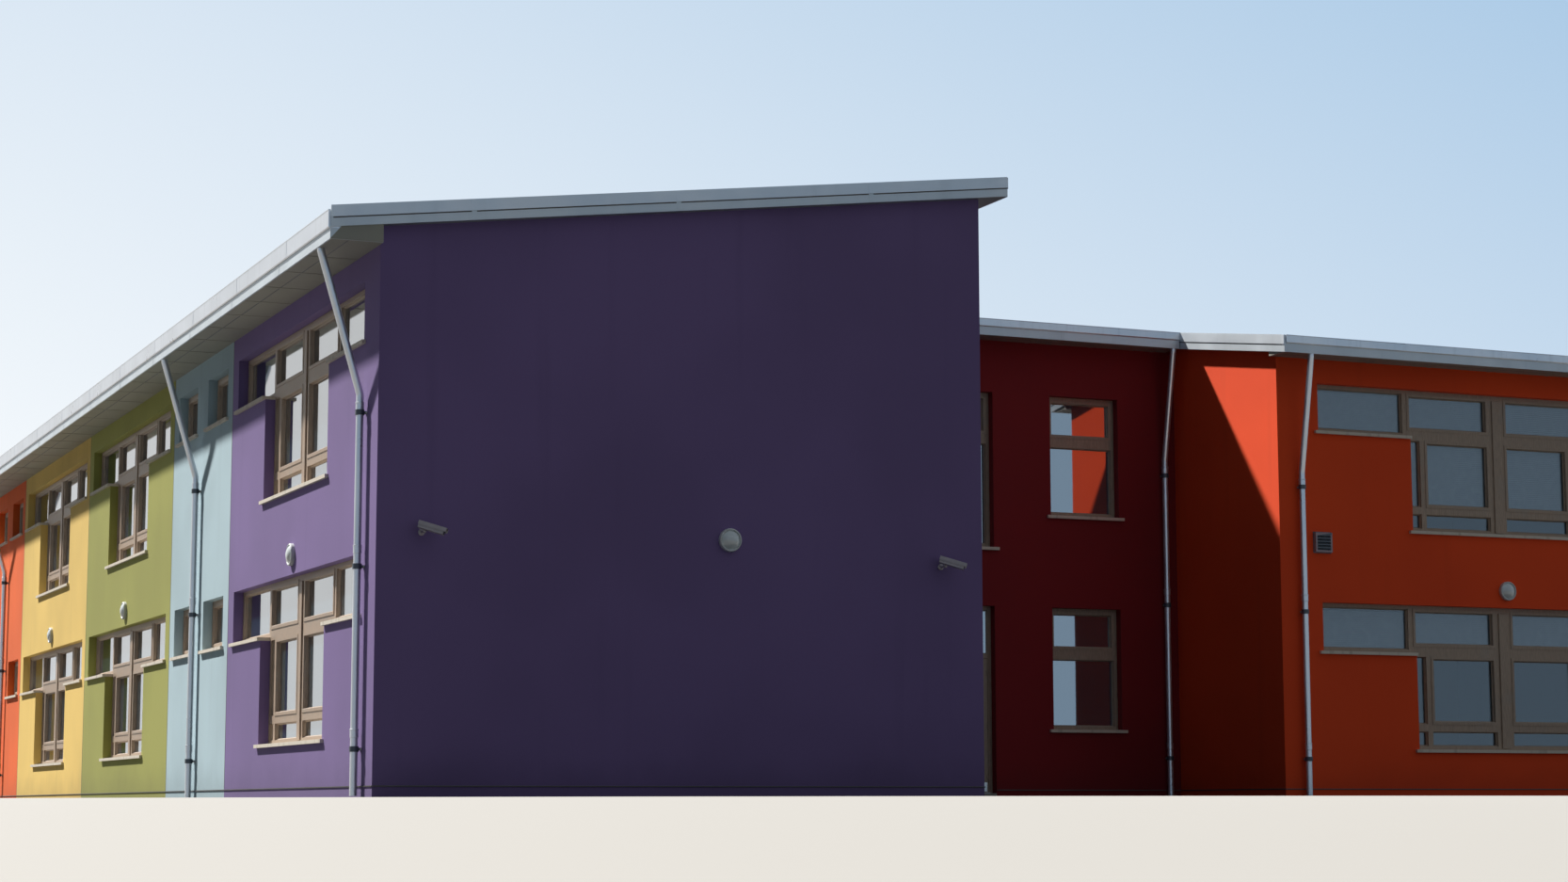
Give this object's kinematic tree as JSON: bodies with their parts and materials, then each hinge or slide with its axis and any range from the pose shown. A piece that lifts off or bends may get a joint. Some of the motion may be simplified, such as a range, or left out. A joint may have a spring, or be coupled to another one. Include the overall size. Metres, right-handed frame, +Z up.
{
  "type": "school building",
  "caption": "School building with a long classroom block in coloured rendered bays, a recessed entrance and a lower wing, T-shaped windows and single-pitch roofs.",
  "frame": {"origin": "on the ground, under the middle of the whole building's box", "axes": "+Y along the classroom block, away from its gable; +X along the gable towards the wing; +Z up"},
  "size_m": [25.625, 33.9152, 8.7887],
  "materials": {
    "purple_render": "fine textured render",
    "blue_render": "fine textured render",
    "green_render": "fine textured render",
    "yellow_render": "fine textured render",
    "orange_render": "fine textured render",
    "red_render": "fine textured render",
    "rust_render": "fine textured render",
    "roof_sheet": "standing seam sheet",
    "flashing": "satin",
    "fascia": "satin",
    "soffit": "matt",
    "rainwater_metal": "satin",
    "joinery": "stained",
    "glass": "clear, reflecting",
    "sill": "cast, fair faced",
    "concrete": "floated",
    "steel": "brushed",
    "lamp_body": "moulded",
    "lamp_lens": "opal",
    "camera_shell": "satin"
  },
  "bodies": {
    "building": {"gable_wall": "purple_render", "purple_bay_wall": "purple_render", "blue_bay_wall": "blue_render", "green_bay_wall": "green_render", "yellow_bay_wall": "yellow_render", "orange_bay_wall": "orange_render", "party_walls": "concrete", "yard_wall_front": "purple_render", "yard_wall_inner": "red_render", "yard_wall_rear": "blue_render", "recess_wall_left": "red_render", "recess_wall_over_door": "red_render", "recess_wall_right": "red_render", "return_wall": "rust_render", "wing_front_wall": "rust_render", "wing_back_wall": "rust_render", "ground_floors": "concrete", "first_floors": "concrete", "block_roof": "roof_sheet", "wing_roof": "roof_sheet", "roof_flashings": "flashing", "verge_boards": "fascia", "eave_boards": "fascia", "soffits": "soffit", "gutters": "rainwater_metal", "downpipes": "rainwater_metal", "pipe_brackets": "rainwater_metal", "street_window_frames": "joinery", "wing_window_frames": "joinery", "yard_window_frames": "joinery", "rear_window_frames": "joinery", "street_window_glass": "glass", "wing_window_glass": "glass", "yard_window_glass": "glass", "rear_window_glass": "glass", "window_sills": "sill", "door_frame": "joinery", "entrance_lights": "glass", "lamp_bases": "lamp_body", "lamp_lenses": "lamp_lens", "security_cameras": "camera_shell", "wall_vent": "rainwater_metal"},
    "door": {"door_leaf": "joinery", "door_glass": "glass", "door_handles": "steel"}
  },
  "joints": [
    {"name": "entrance_door_hinge", "type": "hinge", "parent": "building", "child": "door", "pos_m": [0.26, -9.80443, 1.2], "axis": [0, 0, 1], "range_deg": [0, 90]}
  ]
}
